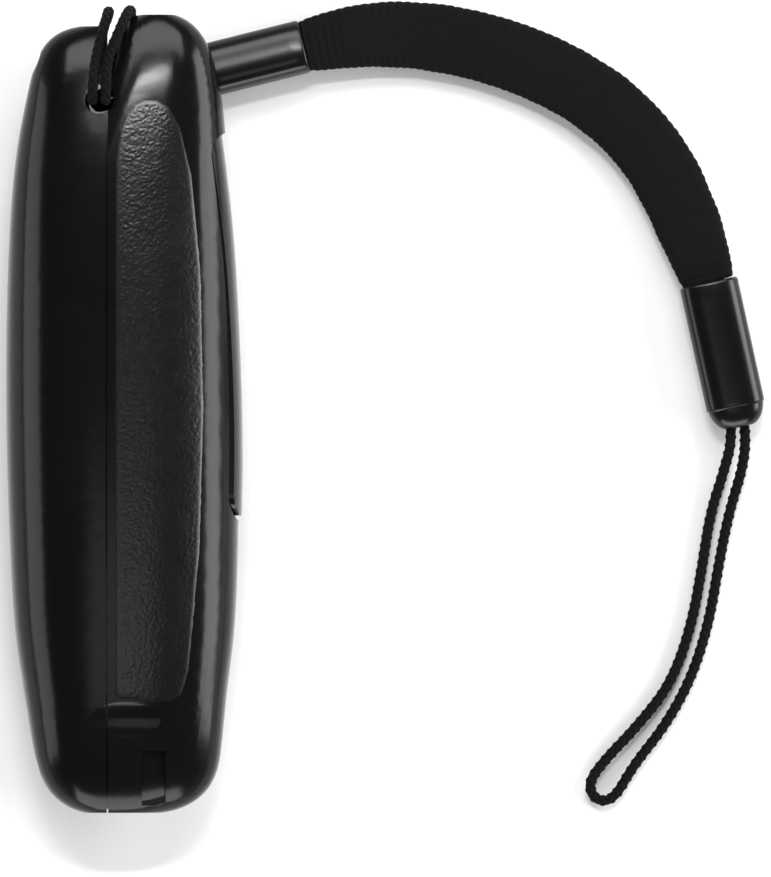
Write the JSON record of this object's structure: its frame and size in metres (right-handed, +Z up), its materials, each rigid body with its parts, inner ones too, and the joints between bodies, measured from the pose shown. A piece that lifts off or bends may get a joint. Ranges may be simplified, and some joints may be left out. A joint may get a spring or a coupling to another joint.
{
  "type": "clicker trainer",
  "caption": "Hand-held training clicker: black two-shell case with a hinged thumb button over a spring-steel tongue, and a woven wrist strap hitched through its lanyard hole.",
  "frame": {"origin": "on the resting surface, under the middle of the case", "axes": "+X from the case's back edge to the thumb button, +Y along the case to its strap end, +Z up from the resting side to the side that faces up"},
  "size_m": [0.0858, 0.0917, 0.0163],
  "materials": {
    "case_plastic": "black ABS, soft gloss",
    "button_plastic": "black ABS, soft gloss",
    "striker_nylon": "natural nylon",
    "plain_steel": "zinc plated",
    "spring_steel": "rolled spring steel",
    "black_steel": "black oxide",
    "sleeve_plastic": "black moulded, satin",
    "thin_cord": "black braided polyester",
    "webbing": "black woven nylon"
  },
  "bodies": {
    "case": {"back_shell": "case_plastic", "front_shell": "case_plastic", "hinge_pin": "plain_steel", "click_tongue": "spring_steel", "tongue_keeper": "plain_steel", "keeper_screws": "plain_steel", "case_screws": "black_steel", "case_end_cap": "sleeve_plastic", "free_end_cap": "sleeve_plastic", "case_loop_cord": "thin_cord", "free_loop_cord": "thin_cord", "strap_webbing": "webbing", "case_cord_knot": "thin_cord", "free_cord_knot": "thin_cord", "case_webbing_crimp": "plain_steel", "free_webbing_crimp": "plain_steel"},
    "button": {"thumb_button": "button_plastic", "striker_tip": "striker_nylon"}
  },
  "joints": [
    {"name": "button_press", "type": "hinge", "parent": "case", "child": "button", "pos_m": [0.0079, 0.0285, 0.008], "axis": [0, 0, -1], "range_deg": [0, 3], "stiffness_Nm_per_rad": 0.5, "deforming": ["click_tongue"]}
  ]
}
